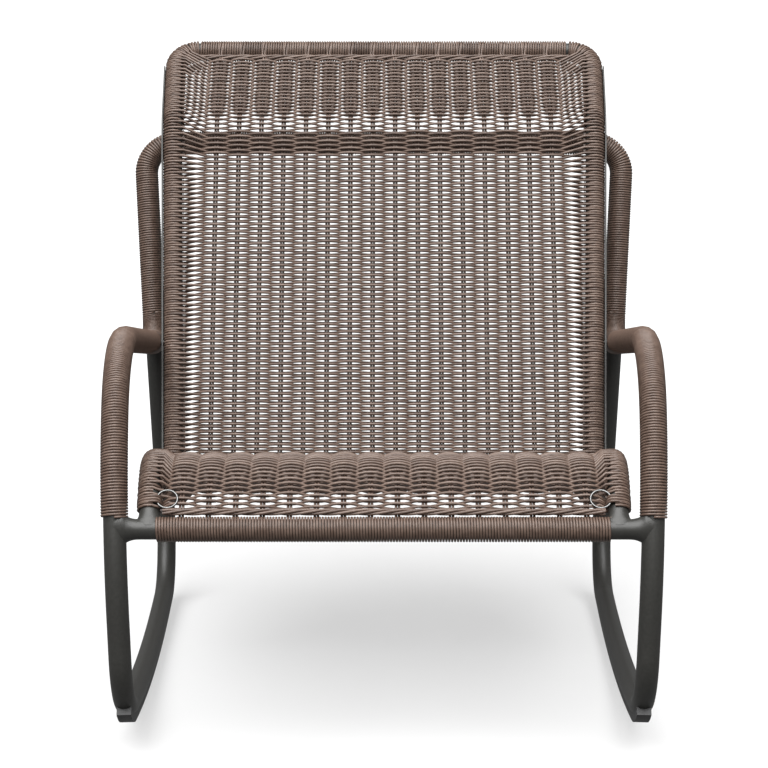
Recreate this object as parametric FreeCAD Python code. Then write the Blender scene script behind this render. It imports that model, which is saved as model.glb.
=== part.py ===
import FreeCAD, Part
import math
import os

# Outdoor rocking chair: a bent tube frame on curved rockers carries one long woven seat and back.
# Sizes are in millimetres. The chair faces -Y, +X is its left arm seen by the sitter, +Z is up.

# Tubes and strands
side_tube_d = 28.0
rail_tube_d = 25.0
tube_wall = 2.0
strand_d = 3.3
fit_gap = 0.1
touch_gap = 0.3

# Side frames, each measured in its own plane from the foremost line of the front legs; the planes lean out
leg_spread = 656.4
side_toe = 0.78
side_lean = 1.4
rail_height = 296.0
leg_radius = 400.0
leg_straight = 53.0
leg_lean = 36.0
arm_bend_radius = 165.0
arm_fall = 11.5
arm_length = 429.0
arm_rear_radius = 45.0
stub_length = 58.0
joint_clear = 1.0
plug_half = 25.0
plug_in_stub = 18.0

# Rockers
rocker_radius = 2500.0
rocker_low = 454.6
rocker_rise = 3.6
front_bend_radius = 85.0
rear_bend_radius = 105.0
runner_width = 18.0
runner_thickness = 8.0
runner_front = 46.0
runner_rear = 40.0
screw_d = 4.0
screw_head_d = 8.0
screw_inset = 60.0
screw_sink = 1.0
screw_head_height = 3.0
screw_bite = 4.0
runner_cradle = 4.0

# Side rails of the woven part, starting at the front rail
seat_inset = 41.8
rail_lean = 0.92
foot_heading = 42.0
foot_straight = 25.0
roll_radius = 116.0
seat_fall = 23.0
seat_length = 274.0
seat_back_radius = 60.0
back_recline = 27.0
back_length = 495.88
head_radius = 80.0
head_recline = 53.0
head_length = 103.0
top_corner_radius = 35.0
top_reach = 5.0
foot_clear = 0.5

# Rear hoop
hoop_half_width = 357.0
hoop_corner_radius = 45.0

# Woven panels, borders and trim
weave_thickness = 8.0
weave_lift = 6.0
border_d = 7.0
strip_thickness = 2.0
strip_width = 12.0
link_d = 8.0

# Openings through the flat of the seat and the back, a plain grid in place of the gaps between strands
gap_columns = 8
gap_share = 0.56
gap_length = 18.0
gap_row_pitch = 41.0
cut_past = 2.0

# Tie rings
ring_d = 28.0
ring_wire_d = 2.8
ring_place = 34.0
ring_height = 12.0
keeper_length = 6.0
keeper_wall = 1.3
ring_slack = 0.7
ring_room = 19.0
tunnel_cover = 0.6

# Values that follow from the driving sizes
side_r = side_tube_d / 2
rail_r = rail_tube_d / 2
side_wrap_r = side_r + fit_gap + strand_d
rail_wrap_r = rail_r + fit_gap + strand_d
weave_low = weave_lift - weave_thickness / 2
weave_high = weave_lift + weave_thickness / 2
rocker_centre_r = rocker_radius - runner_thickness - side_r


class Plane:
    """A flat plane that holds one bent tube: depth runs back, height runs up."""

    def __init__(self, origin, toe, lean):
        toe = math.radians(toe)
        lean = math.radians(lean)
        self.origin = origin
        self.depth = FreeCAD.Vector(math.sin(toe), math.cos(toe), 0)
        self.up = FreeCAD.Vector(0, 0, math.cos(lean))
        self.up.x = math.sin(lean) * math.cos(toe)
        self.up.y = -math.sin(lean) * math.sin(toe)
        self.across = self.depth.cross(self.up)

    def at(self, spot, sideways=0.0):
        return self.origin + self.depth * spot[0] + self.up * spot[1] + self.across * sideways


def ahead(heading):
    """Direction of travel; the heading is in degrees from straight up toward the back."""
    angle = math.radians(heading)
    return math.sin(angle), math.cos(angle)


def moved(spot, heading, distance):
    step = ahead(heading)
    return spot[0] + step[0] * distance, spot[1] + step[1] * distance


def walk(start, heading, steps):
    """Follow a tube: ("straight", length) or ("bend", radius, turn). Gives the points of each step."""
    legs = []
    spot = start
    for step in steps:
        if step[0] == "straight":
            end = moved(spot, heading, step[1])
            legs.append((spot, None, end, heading))
        else:
            radius, turn = step[1], step[2]
            side = 90 if turn > 0 else -90
            centre = moved(spot, heading + side, radius)
            middle = moved(centre, heading + turn / 2 - side, radius)
            end = moved(centre, heading + turn - side, radius)
            legs.append((spot, middle, end, heading))
            heading = heading + turn
        spot = end
    return legs, spot, heading


def edges_on(plane, legs, sideways=0.0):
    """The steps of a walk as edges in space."""
    edges = []
    for start, middle, end, heading in legs:
        if middle is None:
            edges.append(Part.LineSegment(plane.at(start, sideways), plane.at(end, sideways)).toShape())
        else:
            arc = Part.Arc(plane.at(start, sideways), plane.at(middle, sideways), plane.at(end, sideways))
            edges.append(arc.toShape())
    return edges


def rounded(points, radius):
    """A line of points in space with every inner corner rounded."""
    edges = []
    begin = points[0]
    for before, corner, after in zip(points, points[1:], points[2:]):
        incoming = (corner - before).normalize()
        outgoing = (after - corner).normalize()
        half_turn = incoming.getAngle(outgoing) / 2
        cut = radius * math.tan(half_turn)
        arc_start = corner - incoming * cut
        arc_end = corner + outgoing * cut
        inward = (outgoing - incoming).normalize()
        middle = corner + inward * (radius / math.cos(half_turn) - radius)
        edges.append(Part.LineSegment(begin, arc_start).toShape())
        edges.append(Part.Arc(arc_start, middle, arc_end).toShape())
        begin = arc_end
    edges.append(Part.LineSegment(begin, points[-1]).toShape())
    return edges


def ring_section(outer, inner=0.0):
    """A round or tubular cross-section."""

    def face_at(point, direction):
        rim = Part.Wire(Part.makeCircle(outer, point, direction))
        if inner == 0:
            return Part.Face(rim)
        bore = Part.Wire(Part.makeCircle(inner, point, direction))
        return Part.makeFace([rim, bore], "Part::FaceMakerBullseye")

    return face_at


def bar_section(across, left, right, low, high):
    """A flat cross-section: left to right across the plane, low to high out of the tube's outer side."""

    def face_at(point, direction):
        outward = across.cross(direction)
        corners = []
        for sideways, height in ((left, low), (right, low), (right, high), (left, high), (left, low)):
            corners.append(point + across * sideways + outward * height)
        return Part.Face(Part.makePolygon(corners))

    return face_at


def sweep(edges, section):
    """Carry a cross-section along straight and curved edges and join the lengths."""
    lengths = []
    for edge in edges:
        start = edge.valueAt(edge.FirstParameter)
        end = edge.valueAt(edge.LastParameter)
        face = section(start, edge.tangentAt(edge.FirstParameter))
        if edge.Curve.TypeId == "Part::GeomLine":
            lengths.append(face.extrude(end - start))
        else:
            turn = math.degrees(edge.Length / edge.Curve.Radius)
            lengths.append(face.revolve(edge.Curve.Center, edge.Curve.Axis, turn))
    if len(lengths) == 1:
        return lengths[0]
    return lengths[0].multiFuse(lengths[1:]).removeSplitter()


def largest(shape):
    return max(shape.Solids, key=lambda solid: solid.Volume)


def rod(start, end, radius):
    axis = end - start
    return Part.makeCylinder(radius, axis.Length, start, axis)


def mirrored(shape):
    return shape.mirror(FreeCAD.Vector(0, 0, 0), FreeCAD.Vector(1, 0, 0))


def mirror_point(point):
    return FreeCAD.Vector(-point.x, point.y, point.z)


# The front leg: a vertical length with a long curve above it and the rocker's front bend below
rocker_drop_sine = (rocker_low - front_bend_radius) / (rocker_centre_r - front_bend_radius)
rocker_drop = math.degrees(math.asin(rocker_drop_sine))
floor_to_centre = runner_thickness + side_r
bend_top = (floor_to_centre + rocker_centre_r * (1 - math.cos(math.radians(rocker_drop)))
            + front_bend_radius * math.cos(math.radians(rocker_drop)))
leg_foremost = bend_top + leg_straight
joint_height = rail_height + rail_r + joint_clear
joint_lean = math.degrees(math.asin((joint_height - leg_foremost) / leg_radius))
joint = (leg_radius * (1 - math.cos(math.radians(joint_lean))), joint_height)
rail_heading = math.asin((rail_height - leg_foremost) / leg_radius)
rail_depth = leg_radius * (1 - math.cos(rail_heading))

# The arm: on up the leg's curve, round the tighter bend and back along the falling arm
arm_steps = [("bend", leg_radius, leg_lean - joint_lean),
             ("bend", arm_bend_radius, 90 + arm_fall - leg_lean)]
arm_legs, arm_start, arm_heading = walk(joint, joint_lean, arm_steps)
arm_corner = moved(arm_start, arm_heading, arm_length)

# The rocker: down the leg, round the front bend, along the rocker and up the rear leg to the arm
rocker_steps = [("bend", leg_radius, -joint_lean), ("straight", leg_straight),
                ("bend", front_bend_radius, rocker_drop - 90),
                ("bend", rocker_centre_r, -rocker_drop - rocker_rise)]
rocker_legs, rocker_end, rocker_heading = walk(joint, 180 + joint_lean, rocker_steps)
rear_centre = moved(rocker_end, rocker_heading - 90, rear_bend_radius)
to_arm = (arm_corner[0] - rear_centre[0], arm_corner[1] - rear_centre[1])
rear_leg_length = math.sqrt(to_arm[0] ** 2 + to_arm[1] ** 2 - rear_bend_radius ** 2)
rear_heading = math.degrees(math.atan2(to_arm[0], to_arm[1])
                            - math.atan2(rear_bend_radius, rear_leg_length))
rear_steps = [("bend", rear_bend_radius, rear_heading - rocker_heading),
              ("straight", rear_leg_length + side_r / 2)]
rear_legs, rear_top, rear_heading = walk(rocker_end, rocker_heading, rear_steps)

# The side rail: up from the front rail, over the seat's front roll, down the seat, up the back and the head
rail_steps = [("straight", foot_straight), ("bend", roll_radius, 90 + seat_fall - foot_heading),
              ("straight", seat_length), ("bend", seat_back_radius, back_recline - 90 - seat_fall),
              ("straight", back_length), ("bend", head_radius, head_recline - back_recline),
              ("straight", head_length)]
rail_legs, rail_end, rail_heading_end = walk((0, 0), foot_heading, rail_steps)
top_spot = moved(rail_end, rail_heading_end, top_corner_radius + top_reach)

# The whole chair is centred front to back on the origin
front_face = -side_r
rear_face = rail_depth + top_spot[0] + rail_wrap_r
front_line = -(front_face + rear_face) / 2
lean_angle = math.radians(side_lean)
side_foot_x = leg_spread / 2 - math.tan(lean_angle) * rail_height
side_foot_z = math.sin(lean_angle) * runner_width / 2
side_plane = Plane(FreeCAD.Vector(side_foot_x, front_line, side_foot_z), side_toe, side_lean)
front_rail_y = front_line + rail_depth

# Where the arm passes the back rail the two stand just clear of each other
back_start = rail_legs[4][0]
arm_slope = math.tan(math.radians(arm_fall))
back_slope = math.tan(math.radians(back_recline))
cross_depth_at = back_start[0] + rail_depth
cross_height_at = back_start[1] + rail_height
cross_rise = ((arm_start[1] - arm_slope * (cross_depth_at - arm_start[0]) - cross_height_at)
              / (1 + arm_slope * back_slope))
cross_run = cross_rise * back_slope
cross_y = front_line + cross_depth_at + cross_run
cross_z = cross_height_at + cross_rise
cross_arm_x = (leg_spread / 2 + math.tan(math.radians(side_toe)) * (cross_y - front_line)
               + math.tan(lean_angle) * (cross_z - rail_height))
cross_rail_x = cross_arm_x - side_wrap_r - rail_wrap_r - fit_gap - strip_thickness - 2 * touch_gap
rail_front_x = leg_spread / 2 - seat_inset
rail_spread = cross_rail_x - rail_front_x - math.tan(math.radians(rail_lean)) * (cross_z - rail_height)
rail_toe = math.degrees(math.atan2(rail_spread, cross_y - front_rail_y))
rail_plane = Plane(FreeCAD.Vector(rail_front_x, front_rail_y, rail_height), rail_toe, rail_lean)
middle_plane = Plane(FreeCAD.Vector(0, front_rail_y, rail_height), 0, 0)

# The hoop's cross bar rests behind the rails where the head part bends back
head_start = rail_legs[5][0]
bar_offset = rail_wrap_r + side_wrap_r + touch_gap
bar_spot = moved(head_start, back_recline + 90, bar_offset)
bar_point = middle_plane.at(bar_spot)

shapes = {}


def keep(name, shape):
    shapes[name] = shape


def keep_pair(name, shape):
    """Keep the shape made for +X and its mirror image."""
    shapes["left_" + name] = shape
    shapes["right_" + name] = mirrored(shape)


# Side frame tubes
rocker_edges = edges_on(side_plane, rocker_legs + rear_legs)
arm_corner_point = side_plane.at(arm_corner)
hoop_corner = FreeCAD.Vector(hoop_half_width, bar_point.y, bar_point.z)
stub_end = arm_corner_point + (hoop_corner - arm_corner_point).normalize() * stub_length
arm_edges = edges_on(side_plane, arm_legs)
arm_edges = arm_edges + rounded([side_plane.at(arm_start), arm_corner_point, stub_end], arm_rear_radius)
tube_section = ring_section(side_r, side_r - tube_wall)
arm_solid = sweep(arm_edges, ring_section(side_r))
rocker_solid = sweep(rocker_edges, ring_section(side_r))
rocker_tube = largest(sweep(rocker_edges, tube_section).cut(arm_solid))
arm_tube = sweep(arm_edges, tube_section)

# Front rail, coped to the legs
front_rail_start = FreeCAD.Vector(-leg_spread / 2, front_rail_y, rail_height)
front_rail_end = FreeCAD.Vector(leg_spread / 2, front_rail_y, rail_height)
front_rail_solid = rod(front_rail_start, front_rail_end, rail_r)
front_rail = front_rail_solid.cut(rod(front_rail_start, front_rail_end, rail_r - tube_wall))
front_rail = largest(front_rail.cut(rocker_solid).cut(mirrored(rocker_solid)))

# Plugs inside the tube joints
plug_r = side_r - tube_wall - fit_gap
plug_turn = math.degrees(plug_half / leg_radius)
plug_below = walk(joint, 180 + joint_lean, [("bend", leg_radius, -plug_turn)])
plug_legs = walk(plug_below[1], joint_lean - plug_turn, [("bend", leg_radius, 2 * plug_turn)])[0]
front_plug = sweep(edges_on(side_plane, plug_legs), ring_section(plug_r))
stub_direction = (hoop_corner - arm_corner_point).normalize()
hoop_plug = rod(stub_end - stub_direction * plug_in_stub, stub_end + stub_direction * plug_half, plug_r)

# Rear hoop
hoop_points = [stub_end, hoop_corner, mirror_point(hoop_corner), mirror_point(stub_end)]
hoop_edges = rounded(hoop_points, hoop_corner_radius)
hoop_tube = sweep(hoop_edges, tube_section)
hoop_solid = sweep(hoop_edges, ring_section(side_r))

# Side rails and top rail
rail_edges = edges_on(rail_plane, rail_legs)
rail_section = ring_section(rail_r, rail_r - tube_wall)
rail_solid = sweep(rail_edges, ring_section(rail_r))
side_rail = largest(sweep(rail_edges, rail_section).cut(front_rail_solid))
top_points = [rail_plane.at(rail_end), rail_plane.at(top_spot)]
top_points = top_points + [mirror_point(point) for point in reversed(top_points)]
top_edges = rounded(top_points, top_corner_radius)
top_rail = sweep(top_edges, rail_section)

# Short welded links that hold the side rails to the arms and to the hoop
link_r = link_d / 2
arm_link_start = FreeCAD.Vector(cross_rail_x, cross_y, cross_z)
arm_link_end = FreeCAD.Vector(cross_arm_x, cross_y, cross_z)
arm_link_bar = rod(arm_link_start, arm_link_end, link_r)
arm_link_room = rod(arm_link_start, arm_link_end, link_r + fit_gap)
arm_link = largest(arm_link_bar.cut(rail_solid).cut(arm_solid))
head_point = rail_plane.at(head_start)
bar_under_head = FreeCAD.Vector(head_point.x, bar_point.y, bar_point.z)
back_link_bar = rod(head_point, bar_under_head, link_r)
back_link_room = rod(head_point, bar_under_head, link_r + fit_gap)
back_link = largest(back_link_bar.cut(rail_solid).cut(hoop_solid))

# Runners under the rockers: a flat strip cradled round the tube, from the front bend to the rear bend
front_turn = 90 - rocker_drop
front_legs = walk(rocker_legs[2][0], 180, [("bend", front_bend_radius, -runner_front)])
runner_steps = [("bend", front_bend_radius, runner_front - front_turn),
                ("bend", rocker_centre_r, -rocker_drop - rocker_rise),
                ("bend", rear_bend_radius, -runner_rear)]
runner_legs = walk(front_legs[1], front_legs[2], runner_steps)[0]
runner_section = bar_section(side_plane.across, -runner_width / 2, runner_width / 2,
                             -side_r - runner_thickness, runner_cradle - side_r)
runner = sweep(edges_on(side_plane, runner_legs), runner_section)
runner = largest(runner.cut(sweep(rocker_edges, ring_section(side_r + fit_gap))))


def screw_at(start_angle):
    """A countersunk-flush screw that points from under the rocker to the rocker's centre of curvature."""
    centre = (rocker_low, floor_to_centre + rocker_centre_r)
    bottom = side_plane.at(moved(centre, 180 + start_angle, rocker_radius))
    inward = (side_plane.at(centre) - bottom).normalize()
    head_end = bottom + inward * (screw_sink + screw_head_height)
    head = rod(bottom + inward * screw_sink, head_end, screw_head_d / 2)
    shank_end = bottom + inward * (runner_thickness + tube_wall + screw_bite)
    shank = rod(head_end, shank_end, screw_d / 2)
    head_room = rod(bottom - inward * cut_past, head_end, screw_head_d / 2 + fit_gap)
    shank_room = rod(head_end, shank_end, screw_d / 2 + fit_gap)
    return head.fuse(shank).removeSplitter(), head_room.fuse(shank_room)


inset_angle = math.degrees(screw_inset / rocker_radius)
front_screw, front_screw_room = screw_at(rocker_drop - inset_angle)
rear_screw, rear_screw_room = screw_at(inset_angle - rocker_rise)
runner = largest(runner.cut(front_screw_room).cut(rear_screw_room))
rocker_tube = largest(rocker_tube.cut(front_screw_room).cut(rear_screw_room))

# Strand wraps on the side frames, the hoop and the front rail
side_wrap_section = ring_section(side_wrap_r, side_r + fit_gap)
arm_wrap = sweep(arm_edges, side_wrap_section)
rear_leg_room = sweep(edges_on(side_plane, rear_legs), ring_section(side_r + fit_gap))
arm_wrap = largest(arm_wrap.cut(rear_leg_room).cut(arm_link_room))
crossbar_wrap = sweep(hoop_edges[2:3], side_wrap_section).cut(back_link_room).cut(mirrored(back_link_room))
upright_wrap = sweep(hoop_edges[:2], side_wrap_section).cut(back_link_room)
front_wrap_half = rail_front_x - rail_wrap_r - touch_gap
front_wrap = sweep([Part.LineSegment(FreeCAD.Vector(-front_wrap_half, front_rail_y, rail_height),
                                     FreeCAD.Vector(front_wrap_half, front_rail_y, rail_height)).toShape()],
                   ring_section(rail_wrap_r, rail_r + fit_gap))

# Strand wraps on the side rails, with an open length at each tie ring
rail_wrap_section = ring_section(rail_wrap_r, rail_r + fit_gap)
roll_heading = foot_heading + math.degrees((ring_place - foot_straight) / roll_radius)
roll_turn = 90 + seat_fall - foot_heading
room_turn = math.degrees(ring_room / 2 / roll_radius)
keeper_turn = math.degrees(keeper_length / 2 / roll_radius)
roll_start = rail_legs[1][0]
foot_from = moved((0, 0), foot_heading, rail_r + foot_clear)
foot_wrap_length = ring_place - ring_room / 2 - rail_r - foot_clear
foot_legs = walk(foot_from, foot_heading, [("straight", foot_wrap_length)])[0]
foot_wrap = sweep(edges_on(rail_plane, foot_legs), rail_wrap_section)
ring_turn = roll_heading - foot_heading
seat_wrap_from = walk(roll_start, foot_heading, [("bend", roll_radius, ring_turn + room_turn)])
seat_wrap_legs = walk(seat_wrap_from[1], seat_wrap_from[2],
                      [("bend", roll_radius, roll_turn - ring_turn - room_turn)])[0] + rail_legs[2:4]
seat_rail_wrap = sweep(edges_on(rail_plane, seat_wrap_legs), rail_wrap_section)
back_rail_wrap = sweep(rail_edges[4:], rail_wrap_section)
back_rail_wrap = back_rail_wrap.cut(arm_link_room).cut(back_link_room)
top_wrap = sweep(top_edges, rail_wrap_section)

# Flat trim strip along the outer side of each back rail
strip_from = rail_wrap_r + fit_gap
strip_section = bar_section(rail_plane.across, strip_from, strip_from + strip_thickness,
                            -strip_width / 2, strip_width / 2)
edge_strip = largest(sweep(rail_edges[4:], strip_section).cut(arm_link_room))

# Woven panels between the rails
panel_half = 2 * hoop_half_width
panel_section = bar_section(middle_plane.across, -panel_half, panel_half, weave_low, weave_high)
border_place = rail_wrap_r + border_d / 2 + touch_gap
panel_gap = rail_wrap_r + border_d + 2 * touch_gap
panel_from = moved((0, 0), foot_heading, panel_gap)
seat_front_steps = [("straight", foot_straight - panel_gap), rail_steps[1]]
seat_front_legs = walk(panel_from, foot_heading, seat_front_steps)[0]
head_straight = head_length + top_corner_radius + top_reach - panel_gap
head_legs = rail_legs[5:6] + walk(rail_legs[5][2], rail_heading_end, [("straight", head_straight)])[0]
outside_turn = FreeCAD.Rotation(rail_plane.across, rail_plane.depth, rail_plane.up, "XYZ")
outside_size = 4 * panel_half
outside = Part.makeBox(panel_half, outside_size, outside_size)
outside_corner = rail_plane.at((-outside_size / 2, -outside_size / 2), -rail_wrap_r - touch_gap)
outside.Placement = FreeCAD.Placement(outside_corner, outside_turn)
top_room = sweep(top_edges, ring_section(rail_wrap_r + touch_gap))


def panel(legs):
    sheet = sweep(edges_on(middle_plane, legs), panel_section)
    return sheet.cut(outside).cut(mirrored(outside))


def opened(sheet, start, heading, length):
    """Cut the grid of openings through a flat woven sheet."""
    column_pitch = 2 * front_wrap_half / gap_columns
    rows = int(length / gap_row_pitch)
    cutters = []
    for row in range(rows):
        travel = length / 2 + (row - (rows - 1) / 2) * gap_row_pitch
        spot = moved(start, heading, travel)
        middle = middle_plane.at(spot)
        onward = middle_plane.at(moved(spot, heading, gap_length / 2)) - middle
        outward = middle_plane.at(moved(spot, heading - 90, 1.0)) - middle
        low = middle + outward * (weave_low - cut_past)
        across = FreeCAD.Vector(column_pitch * gap_share, 0, 0)
        corners = [low - onward, low + onward, low + onward + across, low - onward + across, low - onward]
        bar = Part.Face(Part.makePolygon(corners)).extrude(outward * (weave_thickness + 2 * cut_past))
        for column in range(gap_columns):
            place = (column - (gap_columns - 1) / 2) * column_pitch - across.x / 2
            cutters.append(bar.translated(FreeCAD.Vector(place, 0, 0)))
    return sheet.cut(cutters)


seat_front_weave = panel(seat_front_legs)
seat_weave = opened(panel(rail_legs[2:3]), rail_legs[2][0], 90 + seat_fall, seat_length)
seat_rear_weave = panel(rail_legs[3:4])
back_weave = opened(panel(rail_legs[4:5]), back_start, back_recline, back_length)
head_weave = largest(panel(head_legs).cut(top_room))


def border(spot, heading, half):
    """A twisted edge row, as a plain round bar across the chair."""
    raised = moved(spot, heading - 90, weave_lift)
    middle = middle_plane.at(raised)
    across = FreeCAD.Vector(half, 0, 0)
    return rod(middle - across, middle + across, border_d / 2)


front_border = border(moved((0, 0), foot_heading, border_place), foot_heading, front_wrap_half)
top_half = rail_plane.at(top_spot).x - top_corner_radius - touch_gap
top_border = border(moved(top_spot, rail_heading_end, -border_place), rail_heading_end, top_half)

# Tie rings at the front corners, each held by a keeper round its side rail
ring_spot = walk(roll_start, foot_heading, [("bend", roll_radius, ring_turn)])[1]
ring_axis = rail_plane.at(moved(ring_spot, roll_heading, 1.0)) - rail_plane.at(ring_spot)
ring_up = rail_plane.across.cross(ring_axis)
ring_r = (ring_d - ring_wire_d) / 2
tunnel_r = ring_wire_d / 2 + ring_slack
hinge_reach = rail_r + fit_gap + tunnel_r + tunnel_cover
hinge_inward = math.sqrt(hinge_reach ** 2 - ring_height ** 2)
hinge = rail_plane.at(ring_spot) - rail_plane.across * hinge_inward + ring_up * ring_height
ring_centre = hinge - rail_plane.across * ring_r
tie_ring = Part.makeTorus(ring_r, ring_wire_d / 2, ring_centre, ring_up)
keeper_from = walk(roll_start, foot_heading, [("bend", roll_radius, ring_turn - keeper_turn)])
keeper_legs = walk(keeper_from[1], keeper_from[2], [("bend", roll_radius, 2 * keeper_turn)])[0]
keeper = sweep(edges_on(rail_plane, keeper_legs), rail_wrap_section)
boss_half = ring_axis * keeper_length / 2
boss = rod(hinge - boss_half, hinge + boss_half, tunnel_r + keeper_wall)
tunnel = rod(hinge - ring_axis * keeper_length, hinge + ring_axis * keeper_length, tunnel_r)
ring_keeper = largest(keeper.fuse(boss).cut(tunnel).cut(rail_solid))

keep_pair("rocker_tube", rocker_tube)
keep_pair("arm_tube", arm_tube)
keep_pair("front_plug", front_plug)
keep_pair("hoop_plug", hoop_plug)
keep_pair("side_rail", side_rail)
keep_pair("arm_link", arm_link)
keep_pair("back_link", back_link)
keep_pair("runner", runner)
keep_pair("front_screw", front_screw)
keep_pair("rear_screw", rear_screw)
keep_pair("arm_wrap", arm_wrap)
keep_pair("upright_wrap", upright_wrap)
keep_pair("foot_wrap", foot_wrap)
keep_pair("seat_rail_wrap", seat_rail_wrap)
keep_pair("back_rail_wrap", back_rail_wrap)
keep_pair("edge_strip", edge_strip)
keep_pair("ring_keeper", ring_keeper)
keep_pair("tie_ring", tie_ring)
keep("front_rail", front_rail)
keep("hoop_tube", hoop_tube)
keep("top_rail", top_rail)
keep("crossbar_wrap", crossbar_wrap)
keep("front_wrap", front_wrap)
keep("top_wrap", top_wrap)
keep("front_border", front_border)
keep("top_border", top_border)
keep("seat_front_weave", seat_front_weave)
keep("seat_weave", seat_weave)
keep("seat_rear_weave", seat_rear_weave)
keep("back_weave", back_weave)
keep("head_weave", head_weave)

os.makedirs("parts", exist_ok=True)
for name in sorted(shapes):
    shapes[name].exportStep("parts/" + name + ".step")
print("pieces", len(shapes))
print("left ring hinge", hinge, "axis", ring_axis)
print("arm and back rail cross at", cross_rail_x, cross_y, cross_z)
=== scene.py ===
# %% [markdown]
# # An outdoor rocking chair in woven resin strand
# The chair is a dark tube frame on two rockers. A seat, a back and a head part are woven between its rails,
# and most of the tubes are wrapped with the same strand. The bare tubes, runners, screws and rings come from
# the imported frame. The strands are made here, because a woven chair only looks woven when its strands are
# there one by one.

# %% Load the frame and keep its box
import math
import random

import bpy
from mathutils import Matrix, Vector


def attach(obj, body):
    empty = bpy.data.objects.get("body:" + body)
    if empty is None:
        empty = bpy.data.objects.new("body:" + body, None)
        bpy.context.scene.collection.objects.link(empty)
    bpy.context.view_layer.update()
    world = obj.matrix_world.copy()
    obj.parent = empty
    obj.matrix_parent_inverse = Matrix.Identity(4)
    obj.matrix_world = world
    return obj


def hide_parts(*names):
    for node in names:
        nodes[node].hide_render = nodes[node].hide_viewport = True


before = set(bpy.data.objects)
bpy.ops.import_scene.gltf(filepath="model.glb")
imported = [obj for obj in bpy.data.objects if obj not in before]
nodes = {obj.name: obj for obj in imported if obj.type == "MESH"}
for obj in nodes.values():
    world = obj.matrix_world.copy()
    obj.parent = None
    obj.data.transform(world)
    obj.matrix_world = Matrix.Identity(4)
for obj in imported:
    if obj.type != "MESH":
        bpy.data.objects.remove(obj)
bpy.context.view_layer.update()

# %% [markdown]
# ## The finishes
# The strand is a round resin cord with a faint streak and a satin face. The frame is powder coated, so it has
# a fine even grain and no metal shine. A finish could be one flat colour, but then every strand would look
# like the next. So each finish mixes two colours with noise, and lets the noise roughen and bump the surface
# a little.

# %% A helper for a mottled finish
coarse_detail = 4.0
fine_detail = 2.0
fine_share = 9.0
shade_low = 0.32
shade_high = 0.68
rough_spread = 0.08
bump_height = 0.0004


def finish(name, dark, light, grain, rough, bump, metal=0.0, gloss=0.5):
    """Makes a material whose colour wanders between two shades, with a fine bump."""
    made = bpy.data.materials.new(name)
    made.use_nodes = True
    tree = made.node_tree
    shader = tree.nodes["Principled BSDF"]
    place = tree.nodes.new("ShaderNodeTexCoord")
    noise = tree.nodes.new("ShaderNodeTexNoise")
    noise.inputs["Scale"].default_value = grain
    noise.inputs["Detail"].default_value = coarse_detail
    tree.links.new(place.outputs["Object"], noise.inputs["Vector"])
    shades = tree.nodes.new("ShaderNodeValToRGB")
    shades.color_ramp.elements[0].position = shade_low
    shades.color_ramp.elements[0].color = (*dark, 1.0)
    shades.color_ramp.elements[1].position = shade_high
    shades.color_ramp.elements[1].color = (*light, 1.0)
    tree.links.new(noise.outputs["Fac"], shades.inputs["Fac"])
    tree.links.new(shades.outputs["Color"], shader.inputs["Base Color"])
    fine = tree.nodes.new("ShaderNodeTexNoise")
    fine.inputs["Scale"].default_value = grain * fine_share
    fine.inputs["Detail"].default_value = fine_detail
    tree.links.new(place.outputs["Object"], fine.inputs["Vector"])
    spread = tree.nodes.new("ShaderNodeMapRange")
    spread.inputs["To Min"].default_value = rough - rough_spread
    spread.inputs["To Max"].default_value = rough + rough_spread
    tree.links.new(fine.outputs["Fac"], spread.inputs["Value"])
    tree.links.new(spread.outputs["Result"], shader.inputs["Roughness"])
    raised = tree.nodes.new("ShaderNodeBump")
    raised.inputs["Strength"].default_value = bump
    raised.inputs["Distance"].default_value = bump_height
    tree.links.new(fine.outputs["Fac"], raised.inputs["Height"])
    tree.links.new(raised.outputs["Normal"], shader.inputs["Normal"])
    shader.inputs["Metallic"].default_value = metal
    shader.inputs["Specular IOR Level"].default_value = gloss
    return made


# %% The strand's three tints
strand_grain = 110.0
strand_bump = 0.25
strand_tints = [
    finish("strand_mid", (0.094, 0.060, 0.045), (0.146, 0.099, 0.077), strand_grain, 0.42, strand_bump),
    finish("strand_pale", (0.120, 0.080, 0.062), (0.172, 0.121, 0.096), strand_grain, 0.40, strand_bump),
    finish("strand_dark", (0.072, 0.045, 0.034), (0.115, 0.077, 0.059), strand_grain, 0.44, strand_bump),
]
print(len(strand_tints), "tints of strand")

# %% The other finishes, and all of them on the frame's nodes
frame_coat = finish("frame_coat", dark=(0.026, 0.026, 0.023), light=(0.034, 0.033, 0.030),
                    grain=260.0, rough=0.42, bump=0.30)
runner_black = finish("runner_black", dark=(0.026, 0.026, 0.026), light=(0.036, 0.036, 0.037),
                      grain=180.0, rough=0.50, bump=0.30)
ring_steel = finish("ring_steel", dark=(0.13, 0.13, 0.128), light=(0.18, 0.18, 0.178),
                    grain=400.0, rough=0.26, bump=0.05, metal=1.0)
screw_steel = finish("screw_steel", dark=(0.45, 0.45, 0.45), light=(0.56, 0.56, 0.56),
                     grain=400.0, rough=0.34, bump=0.10, metal=1.0)
node_finishes = {
    "frame_paint": frame_coat,
    "runner_plastic": runner_black,
    "ring_steel": ring_steel,
    "screw_steel": screw_steel,
    "wicker": strand_tints[0],
}
for node in nodes.values():
    for holder in node.material_slots:
        holder.material = node_finishes[holder.material.name.split(".")[0]]
print("finishes on", len(nodes), "nodes")

# %% [markdown]
# ## The line that the seat follows
# Seen from the side, the two rails bend over the seat's front, run down the seat, turn up the back and lean
# away at the head. Every strand of the weave is placed by how far along that line it lies, so the line comes
# first. It could be drawn as a curve and sampled, but runs and bends added up give exact points with little
# code.

# %% Sizes of the line, in metres and degrees
rail_front = Vector((0.28640, -0.41354, 0.29600))
rail_toe = math.radians(1.5047)
rail_lean = math.radians(0.92)
foot_heading = math.radians(42.0)
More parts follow.
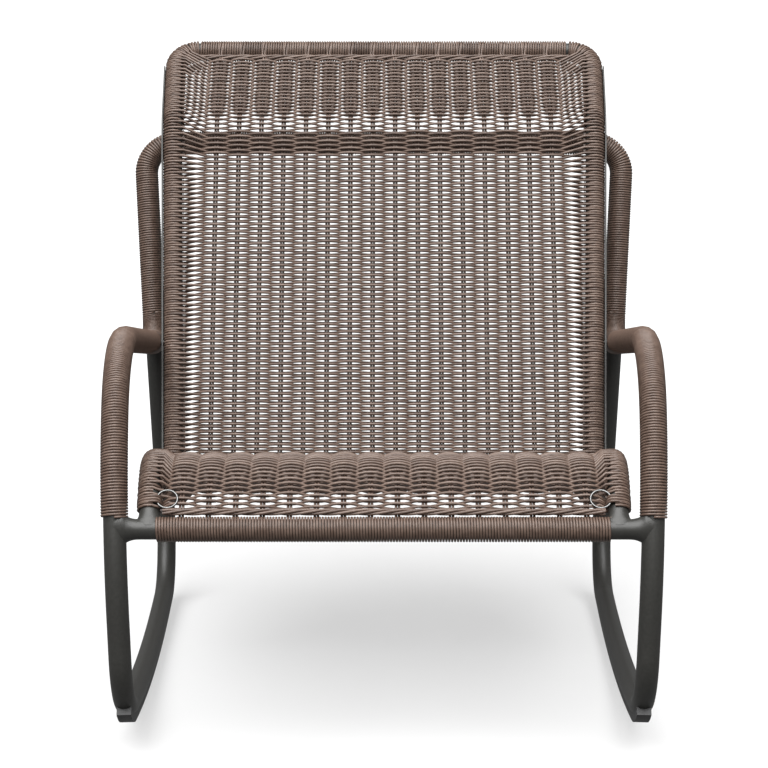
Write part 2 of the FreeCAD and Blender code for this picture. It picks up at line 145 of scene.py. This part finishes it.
# A run is a straight length with no turn, or a bend's radius and its turn. The last run is longer than the
# head, so that the top rail can be placed on it.
seat_runs = [
    (0.025, 0.0),
    (0.116, 71.0),
    (0.274, 0.0),
    (0.060, -86.0),
    (0.49588, 0.0),
    (0.080, 26.0),
    (0.200, 0.0),
]
head_length = 0.103
corner_radius = 0.035
top_reach = 0.040


# %% Where the back, the head and the top rail begin along the line
def run_length(size, turn):
    """Gives the length of one run, an arc where it turns."""
    return size * abs(math.radians(turn)) if turn else size


run_ends = []
rail_length = 0.0
for size, turn in seat_runs[:-1]:
    rail_length += run_length(size, turn)
    run_ends.append(rail_length)
back_start = run_ends[3]
head_start = run_ends[4]
rail_length += head_length
top_travel = rail_length + top_reach
print("rail length", round(rail_length, 4))
print("back from", round(back_start, 4), "head from", round(head_start, 4))


# %% A point on the line, and one on the woven face
def seat_line(travel):
    """Gives depth, height and heading at a distance along the rail from the front rail."""
    depth, height, heading = 0.0, 0.0, foot_heading
    for size, turn in seat_runs:
        part = min(travel, run_length(size, turn))
        if turn:
            rate = math.copysign(1.0 / size, turn)
            after = heading + rate * part
            depth += (math.cos(heading) - math.cos(after)) / rate
            height += (math.sin(after) - math.sin(heading)) / rate
            heading = after
        else:
            depth += math.sin(heading) * part
            height += math.cos(heading) * part
        travel -= part
        if travel <= 0.0:
            break
    return depth, height, heading


def woven_point(travel, across, proud):
    """Gives a point at a distance along the line, across the chair, and proud of the line."""
    depth, height, heading = seat_line(travel)
    flat = depth * math.cos(rail_toe) - math.cos(heading) * proud
    return Vector((across, rail_front.y + flat, rail_front.z + height + math.sin(heading) * proud))


# %% A spot on a rail
def rail_spot(travel, side):
    """Gives a rail's centre, its front direction and its outward direction at a distance along it."""
    straight_end = top_travel - corner_radius
    depth, height, heading = seat_line(min(travel, straight_end))
    across = rail_front.x + math.tan(rail_toe) * depth + math.tan(rail_lean) * height
    centre = Vector((side * across, rail_front.y + depth * math.cos(rail_toe), rail_front.z + height))
    front = Vector((0.0, -math.cos(heading), math.sin(heading)))
    outward = Vector((side, 0.0, 0.0))
    if travel > straight_end:
        turned = (travel - straight_end) / corner_radius
        upward = Vector((0.0, math.sin(heading), math.cos(heading)))
        swung = outward * math.cos(turned) + upward * math.sin(turned)
        centre += (swung - outward) * corner_radius
        outward = swung
    return centre, front, outward


print("rail end", rail_spot(rail_length, 1)[0])

# %% [markdown]
# ## The woven rows
# Each row is one strand. It goes round the left rail, in front of one pair of stakes and behind the next, and
# round the right rail. The row above does the opposite, and that is what locks a weave. One repeat could be
# arrayed, but the rails spread apart towards the head, so every row has its own width. A curve with a round
# bevel is one strand of any route.

# %% Sizes of the weave
row_pitch = 0.00372
row_thick = 0.0037
row_swing = 0.0041
stake_thick = 0.0033
stake_apart = 0.0037
stake_spacing = 0.033
stake_count = 16
stake_lift = 0.006
wrap_radius = 0.0142
first_row = 0.0262
last_row = top_travel - 0.0235
stake_places = [stake_spacing * (index - (stake_count - 1) / 2) for index in range(stake_count)]
print(stake_count, "pairs of stakes, the outermost at", round(stake_places[-1], 4))

# %% A helper that turns routes into strands
tint_stride = 7
tint_shift = 5


def strands(name, routes, thick, sides=1):
    """Makes one piece from many routes, each a round strand with closed ends."""
    bpy.ops.object.select_all(action="DESELECT")
    bpy.ops.curve.primitive_nurbs_path_add()
    piece = bpy.context.object
    piece.name = name
    curve = piece.data
    curve.splines.clear()
    curve.dimensions = "3D"
    curve.bevel_depth = thick / 2
    curve.bevel_resolution = sides
    curve.use_fill_caps = True
    for tint in strand_tints:
        curve.materials.append(tint)
    for index, points in enumerate(routes):
        spline = curve.splines.new("POLY")
        spline.points.add(len(points) - 1)
        for spot, point in zip(spline.points, points):
            spot.co = (*point, 1.0)
        spline.material_index = (index * tint_stride + index // tint_shift) % len(strand_tints)
        spline.use_smooth = True
    bpy.ops.object.convert(target="MESH")
    bpy.ops.object.shade_smooth()
    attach(piece, "chair")
    print(name, len(routes), "strands", len(piece.data.polygons), "faces")
    return piece


# %% How far a row's ends run ahead of its middle
seat_fan = 0.010
seat_fan_from = 0.03
seat_fan_rise = 0.08
seat_fan_end = 0.15
seat_fan_fall = 0.15
head_fan = 0.030
head_fan_before = 0.070
head_fan_bend = 1.6


def ease(share):
    """Goes smoothly from 0 to 1 as the share does."""
    share = min(1.0, max(0.0, share))
    return (1.0 - math.cos(math.pi * share)) / 2


def fan(travel):
    """Gives how much further along the rail a row's ends lie than its middle."""
    rise = ease((travel - seat_fan_from) / seat_fan_rise)
    fall = ease((travel - seat_fan_end) / seat_fan_fall)
    fan_start = head_start - head_fan_before
    share = max(0.0, (travel - fan_start) / (top_travel - fan_start))
    return seat_fan * rise * (1.0 - fall) + head_fan * (1.0 - (1.0 - share) ** head_fan_bend)


# %% The end of a row, round a rail
ring_travel = 0.034
ring_touch = 0.0045
ring_near = 0.012
ring_zone = 0.016
front_turns = (270.0, -8.0)
front_turn_by_ring = -50.0
back_turns = (-450.0, -158.0)
back_turn_by_ring = -380.0
loop_steps = 9
rail_edge = 0.0150
leave_front = 0.0135
leave_back = 0.0130
end_shares = (0.30, 0.62)
wave_bend = 0.7


def rail_loop(travel, side, turns, radius):
    """Gives points round a rail; a turn of 0 is its front and 90 is its outer side."""
    centre, front, outward = rail_spot(travel, side)
    points = []
    for turn in turns:
        angle = math.radians(turn)
        points.append(centre + (front * math.cos(angle) + outward * math.sin(angle)) * radius)
    return points


def row_end(travel, side, over, swing):
    """Gives one end of a row, from its turn round the rail to the outermost stake."""
    from_ring = abs(travel - ring_travel)
    if over and from_ring > ring_touch:
        first_turn, last_turn = front_turns
        if from_ring < ring_zone:
            last_turn = front_turn_by_ring
    else:
        first_turn, last_turn = back_turns
        if from_ring < ring_near:
            first_turn = back_turn_by_ring
    turns = [first_turn + (last_turn - first_turn) * step / loop_steps for step in range(loop_steps + 1)]
    rail_travel = travel + fan(travel)
    points = rail_loop(rail_travel, side, turns, wrap_radius)
    if from_ring > ring_zone:
        centre, front, outward = rail_spot(rail_travel, side)
        points.append(centre - outward * rail_edge + front * (leave_front if over else -leave_back))
    outermost = stake_places[-1]
    crossing = woven_point(travel, side * (outermost + stake_spacing / 2), stake_lift)
    points.append(points[-1].lerp(crossing, 0.5))
    points.append(crossing)
    for share in end_shares:
        wave = swing * math.sin(math.pi / 2 * share) ** wave_bend
        across = side * (outermost + stake_spacing / 2 * (1.0 - share))
        points.append(woven_point(travel, across, stake_lift + wave))
    return points


# %% The route of one row
row_wander = 0.00016
swing_range = (0.92, 1.08)
span_points = 5
hand = random.Random(5)


def row_route(travel, over):
    """Gives a whole row: one rail, every pair of stakes in turn, and the other rail."""
    travel += hand.uniform(-row_wander, row_wander)
    depth = row_swing * hand.uniform(*swing_range)
    swing = -depth if over else depth
    points = row_end(travel, -1, over, swing)
    for index in range(stake_count - 1):
        for step in range(span_points):
            share = step / span_points
            wave = math.cos(math.pi * share)
            wave = math.copysign(abs(wave) ** wave_bend, wave)
            across = stake_places[index] + stake_spacing * share
            points.append(woven_point(travel, across, stake_lift + wave * swing))
        swing = -swing
    points.append(woven_point(travel, stake_places[-1], stake_lift + swing))
    points.extend(reversed(row_end(travel, 1, swing < 0.0, swing)))
    return points


# %% The rows of the seat, the back and the head
row_total = int((last_row - first_row) / row_pitch)
parts = {
    "seat_rows": (0.0, back_start),
    "back_rows": (back_start, head_start),
    "head_rows": (head_start, top_travel),
}
replaced = {
    "seat_rows": ["seat_front_weave", "seat_weave", "seat_rear_weave", "left_seat_rail_wrap",
                  "right_seat_rail_wrap", "left_foot_wrap", "right_foot_wrap"],
    "back_rows": ["back_weave", "left_back_rail_wrap", "right_back_rail_wrap"],
    "head_rows": ["head_weave"],
}
for name, (low, high) in parts.items():
    routes = []
    for row in range(row_total):
        travel = first_row + row * row_pitch
        if low <= travel < high:
            routes.append(row_route(travel, row % 2 == 0))
    piece = strands(name, routes, row_thick)
    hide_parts(*replaced[name])


# %% A point round the top rail
def over_top(across, turn):
    """Gives a point on the top rail's wrap; a turn of 0 is its lower side and 90 is its front."""
    heading = seat_line(top_travel)[2]
    front = Vector((0.0, -math.cos(heading), math.sin(heading)))
    upward = Vector((0.0, math.sin(heading), math.cos(heading)))
    angle = math.radians(turn)
    outward = front * math.sin(angle) - upward * math.cos(angle)
    return woven_point(top_travel, across, 0.0) + outward * wrap_radius


# %% The pairs of stakes, which end round the top rail
stake_from = 0.012
stake_to = top_travel - 0.014
stake_step = 0.0075
stake_slant = 0.006
stake_turns = range(25, 271, 35)
stake_steps = int((stake_to - stake_from) / stake_step)
stake_routes = []
for place in stake_places:
    for offset in (-stake_apart / 2, stake_apart / 2):
        across = place + offset
        route = []
        for step in range(stake_steps + 1):
            route.append(woven_point(stake_from + stake_step * step, across, stake_lift))
        for turn in stake_turns:
            route.append(over_top(across + stake_slant * (turn / 180.0 - 0.5), turn))
        stake_routes.append(route)
strands("stakes", stake_routes, stake_thick)

# %% [markdown]
# ## Loops that only hold
# A few strands belong to no row. Three loops at each front corner go round the rail and over the tie ring's
# wire, so the ring can turn but not leave. More loops carry the wrap round the top corners. Each is a circle
# of points like a row's end, and the loops over the ring swell where the wire lies under them.

# %% The loops over the rings
loop_apart = 0.0034
loop_turns = range(-180, 181, 15)
swell_height = 0.0036
swell_turn = -36.0
swell_width = 24.0
for side, place in (("left", 1), ("right", -1)):
    routes = []
    for offset in (-loop_apart, 0.0, loop_apart):
        loop = []
        for turn in loop_turns:
            swell = swell_height * math.exp(-((turn - swell_turn) / swell_width) ** 2)
            loop.extend(rail_loop(ring_travel + offset, place, [turn], wrap_radius + swell))
        routes.append(loop)
    keeper = strands(side + "_ring_loops", routes, row_thick)
    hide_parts(side + "_ring_keeper")

# %% The loops round the top corners
corner_turns = range(-180, 181, 24)
corner_from = last_row + fan(last_row)
corner_to = top_travel - corner_radius + corner_radius * math.pi / 2
loop_total = int((corner_to - corner_from) / row_pitch)
routes = []
for place in (-1, 1):
    for step in range(loop_total + 1):
        routes.append(rail_loop(corner_from + step * row_pitch, place, corner_turns, wrap_radius))
strands("corner_loops", routes, row_thick)

# %% [markdown]
# ## Strand wound round a tube
# The arms, the hoop behind the back, the front rail and the top rail are wound with strand, turn against
# turn. By hand that is a small circle, a Screw modifier that winds it into a straight coil, and a Curve
# modifier that bends the coil along the tube. The curve's corners are nearly true arcs: two points whose
# handles are about a third of the arc long.

# %% A curve along a tube with rounded corners
line_resolution = 24


def tube_line(name, corners, radii):
    """Makes a curve through the corners, each rounded by its radius, and gives its length too."""
    bpy.ops.object.select_all(action="DESELECT")
    bpy.ops.curve.primitive_bezier_curve_add()
    line = bpy.context.object
    line.name = name
    curve = line.data
    curve.dimensions = "3D"
    curve.resolution_u = line_resolution
    corners = [Vector(corner) for corner in corners]
    runs = []
    start = corners[0]
    length = 0.0
    for before, corner, after, radius in zip(corners, corners[1:], corners[2:], radii):
        into = (corner - before).normalized()
        onward = (after - corner).normalized()
        turn = into.angle(onward)
        reach = radius * math.tan(turn / 2)
        handle = 4 / 3 * math.tan(turn / 4) * radius
        runs.append((start, corner - into * reach, into, handle))
        start = corner + onward * reach
        length += radius * turn
    runs.append((start, corners[-1], (corners[-1] - start).normalized(), 0.0))
    spline = curve.splines[0]
    spline.bezier_points.add(2 * len(runs) - 2)
    handle_in = 0.0
    for index, (start, end, along, handle_out) in enumerate(runs):
        run = (end - start).length
        length += run
        first = spline.bezier_points[2 * index]
        second = spline.bezier_points[2 * index + 1]
        knots = ((first, start, handle_in, run / 3), (second, end, run / 3, handle_out))
        for knot, point, back, forth in knots:
            knot.handle_left_type = "FREE"
            knot.handle_right_type = "FREE"
            knot.co = point
            knot.handle_left = point - along * back
            knot.handle_right = point + along * forth
        handle_in = handle_out
    return line, length


# %% A coil along such a curve
coil_pitch = 0.00355
coil_thick = 0.0033
coil_sides = 6
coil_steps = 14
largest_hole = 8


def coil(name, corners, radii, radius, node):
    """Winds strand round a tube, from the circle of one strand, in place of a node's plain sleeve."""
    line, length = tube_line(name + "_line", corners, radii)
    line.location = (0.0, 0.0, 0.0)
    turns = max(1, round(length / coil_pitch))
    bpy.ops.object.select_all(action="DESELECT")
    bpy.ops.mesh.primitive_circle_add(vertices=coil_sides, radius=coil_thick / 2,
                                      location=(0.0, 0.0, radius), rotation=(math.pi / 2, 0.0, 0.0))
    piece = bpy.context.object
    piece.name = name
    bpy.ops.object.transform_apply(location=True, rotation=True, scale=True)
    winding = piece.modifiers.new("winding", "SCREW")
    winding.axis = "X"
    winding.angle = 2 * math.pi
    winding.screw_offset = length / turns
    winding.iterations = turns
    winding.steps = coil_steps
    winding.render_steps = coil_steps
    winding.use_normal_calculate = True
    bend = piece.modifiers.new("bend", "CURVE")
    bend.object = line
    bend.deform_axis = "POS_X"
    bpy.context.view_layer.update()
    bpy.ops.object.modifier_apply(modifier="winding")
    bpy.ops.object.modifier_apply(modifier="bend")
    bpy.ops.object.mode_set(mode="EDIT")
    bpy.ops.mesh.select_all(action="SELECT")
    bpy.ops.mesh.fill_holes(sides=largest_hole)
    bpy.ops.mesh.select_all(action="SELECT")
    bpy.ops.mesh.normals_make_consistent(inside=False)
    bpy.ops.object.mode_set(mode="OBJECT")
    bpy.ops.object.shade_smooth()
    piece.data.materials.append(strand_tints[0])
    bpy.data.objects.remove(line)
    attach(piece, "chair")
    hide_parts(node)
    print(name, turns, "turns over", round(length, 3), "m", len(piece.data.polygons), "faces")


# %% The wound tubes
side_coil = 0.0158
rail_coil = 0.0143
hoop_bend = 0.045
arm_ledge = (0.34233, 0.24696, 0.44485)
arm_corners = [
    (0.32878, -0.40963, 0.30963),
    (0.33056, -0.39007, 0.37145),
    (0.33531, -0.28961, 0.50976),
    (0.33984, 0.23477, 0.40310),
    arm_ledge,
]
arm_radii = [0.3999, 0.165, 0.045]
hoop_corner = (0.35700, 0.31890, 0.69125)
bar_end = (0.303, 0.31890, 0.69125)
upright_corners = [arm_ledge, hoop_corner, bar_end]
front_end = (0.2768, rail_front.y, rail_front.z)


def mirrored(corners):
    """Gives the same corners on the chair's other side."""
    return [(-x, y, z) for x, y, z in corners]


coil("left_arm_winding", arm_corners, arm_radii, side_coil, "left_arm_wrap")
coil("right_arm_winding", mirrored(arm_corners), arm_radii, side_coil, "right_arm_wrap")
coil("left_upright_winding", upright_corners, [hoop_bend], side_coil, "left_upright_wrap")
coil("right_upright_winding", mirrored(upright_corners), [hoop_bend], side_coil, "right_upright_wrap")
coil("crossbar_winding", mirrored([bar_end]) + [bar_end], [], side_coil, "crossbar_wrap")
coil("front_winding", mirrored([front_end]) + [front_end], [], rail_coil, "front_wrap")

# %% The top rail's winding, in groups between the stakes
group_turns = 8
group_points = 14
group_pitch = 0.0037
routes = []
for group in range(stake_count + 1):
    middle = stake_spacing * (group - stake_count / 2)
    points = []
    for step in range(group_turns * group_points + 1):
        across = middle + group_pitch * (step / group_points - group_turns / 2)
        points.append(over_top(across, 360.0 * step / group_points))
    routes.append(points)
top_winding = strands("top_winding", routes, coil_thick)
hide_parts("top_wrap")

# %% [markdown]
# ## The twisted border rows
# Where the weave meets the front rail and the top rail, strands are twisted round each other like a rope. A
# coil's flat circle would shear on so long a pitch, so each strand of the rope is a curve along a slow helix
# instead.

# %% The two borders
twist_pitch = 0.095
twist_thick = 0.0038
twist_radius = 0.0026
twist_strands = 4
twist_steps = 120


def twist(name, travel, proud, half, node):
    """Makes a rope across the chair, at a distance along the line, in place of a node's plain bar."""
    middle = woven_point(travel, 0.0, proud)
    routes = []
    for start in range(twist_strands):
        route = []
        for step in range(twist_steps + 1):
            across = half * (2.0 * step / twist_steps - 1.0)
            angle = 2 * math.pi * (across / twist_pitch + start / twist_strands)
            aside = Vector((across, math.sin(angle) * twist_radius, math.cos(angle) * twist_radius))
            route.append(middle + aside)
        routes.append(route)
    rope = strands(name, routes, twist_thick, sides=2)
    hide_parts(node)


twist("front_twist", travel=0.0180, proud=0.0115, half=0.270, node="front_border")
twist("top_twist", travel=top_travel - 0.0195, proud=0.005, half=0.281, node="top_border")

# %% [markdown]
# ## Welds on the bare tubes
# The front rail meets the legs, and the side rails meet the front rail, in smooth welds under the paint. A
# weld could be cut with a bevel on joined tubes, but the tubes are separate. So each weld is a disc that is
# extruded ring by ring and grows as it goes, which leaves a hollow curve like a fillet.

# %% A helper for one weld
weld_sides = 40
weld_rings = 12
weld_reach = 0.62
weld_smooth = math.radians(40.0)
tube_radius = 0.01255


def weld(name, start, end, grow_side, grow_up):
    """Makes a flare from a tube's own size at the start to a wider oval at the end."""
    axis = end - start
    bpy.ops.object.select_all(action="DESELECT")
    bpy.ops.mesh.primitive_circle_add(vertices=weld_sides, radius=tube_radius, fill_type="NGON")
    piece = bpy.context.object
    piece.name = name
    bpy.ops.object.mode_set(mode="EDIT")
    bpy.ops.mesh.select_all(action="SELECT")
    before = (tube_radius, tube_radius)
    for step in range(1, weld_rings + 1):
        share = min(1.0, step / weld_rings / weld_reach)
        bulge = 1.0 - math.sqrt(1.0 - share ** 2)
        now = (tube_radius + grow_side * bulge, tube_radius + grow_up * bulge)
        rise = (0.0, 0.0, axis.length / weld_rings)
        bpy.ops.mesh.extrude_region_move(TRANSFORM_OT_translate={"value": rise})
        bpy.ops.transform.resize(value=(now[0] / before[0], now[1] / before[1], 1.0))
        before = now
    bpy.ops.mesh.select_all(action="SELECT")
    bpy.ops.mesh.normals_make_consistent(inside=False)
    bpy.ops.object.mode_set(mode="OBJECT")
    piece.rotation_euler = axis.to_track_quat("Z", "Y").to_euler()
    piece.location = start
    bpy.ops.object.transform_apply(location=True, rotation=True, scale=True)
    bpy.ops.object.shade_smooth_by_angle(angle=weld_smooth)
    piece.data.materials.append(frame_coat)
    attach(piece, "chair")
    print(name, len(piece.data.polygons), "faces")


# %% The welds at both front corners
leg_weld_from = 0.2990
leg_weld_to = 0.3282
foot_weld_length = 0.0245
for side, place in (("left", 1), ("right", -1)):
    rail_end = Vector((place * leg_weld_from, rail_front.y, rail_front.z))
    leg_middle = Vector((place * leg_weld_to, rail_front.y, rail_front.z))
    weld(side + "_leg_weld", rail_end, leg_middle, grow_side=0.0010, grow_up=0.0090)
    foot_top = rail_spot(foot_weld_length, place)[0]
    foot_low = rail_spot(0.0, place)[0]
    weld(side + "_foot_weld", foot_top, foot_low, grow_side=0.0070, grow_up=0.0005)

# %% [markdown]
# ## Floor, light and camera
# The chair stands on a plain floor in a white studio. A large soft light above throws a pale shadow between
# the rockers. The floor could be plain white, but then the light would wash out most of that shadow. So it is
# grey and glows a little, which is painted light: the glow keeps the shadow pale and wide, and full light
# still makes it white. Light bounced off the floor would fill the grooves between the strands, so the chair's
# own rays don't see it. The camera stands in front, above the seat, and looks slightly down.

# %% The floor
floor_size = 80.0
floor_glow = 0.57
bpy.ops.object.select_all(action="DESELECT")
bpy.ops.mesh.primitive_plane_add(size=floor_size)
floor = bpy.context.object
floor.name = "floor"
grey_floor_painted_glow = finish("grey_floor_painted_glow", dark=(0.32, 0.32, 0.32), light=(0.33, 0.33, 0.33),
                     grain=3.0, rough=0.80, bump=0.0, gloss=0.0)
# Painted light: the floor glows, which lifts the shadow under the chair and keeps it pale.
glow = grey_floor_painted_glow.node_tree.nodes["Principled BSDF"].inputs
glow["Emission Color"].default_value = (1.0, 1.0, 1.0, 1.0)
glow["Emission Strength"].default_value = floor_glow
floor.data.materials.append(grey_floor_painted_glow)
floor.visible_diffuse = False
floor.visible_glossy = False
print("floor", floor_size, "m wide")

# %% The light
sky_strength = 0.25
sun_strength = 6.6
sun_spread = math.radians(70.0)
sun_turn = (math.radians(22.0), math.radians(-6.0), 0.0)
world = bpy.data.worlds.new("studio")
world.use_nodes = True
backdrop = world.node_tree.nodes["Background"].inputs
backdrop["Color"].default_value = (1.0, 1.0, 1.0, 1.0)
backdrop["Strength"].default_value = sky_strength
bpy.context.scene.world = world
bpy.ops.object.light_add(type="SUN", location=(0.0, -1.0, 3.0), rotation=sun_turn)
soft_sky = bpy.context.object
soft_sky.name = "soft_sky"
soft_sky.data.energy = sun_strength
soft_sky.data.angle = sun_spread
print("light", soft_sky.name, "of", sun_strength)

# %% The camera
camera_place = (0.0, -3.1152, 1.047)
camera_tilt = math.radians(78.09)
bpy.ops.object.camera_add(location=camera_place, rotation=(camera_tilt, 0.0, 0.0))
camera = bpy.context.object
camera.data.sensor_width = 36.0
camera.data.lens = 107.57
bpy.context.scene.camera = camera
bpy.context.scene.view_settings.view_transform = "Standard"
print("camera at", camera_place)
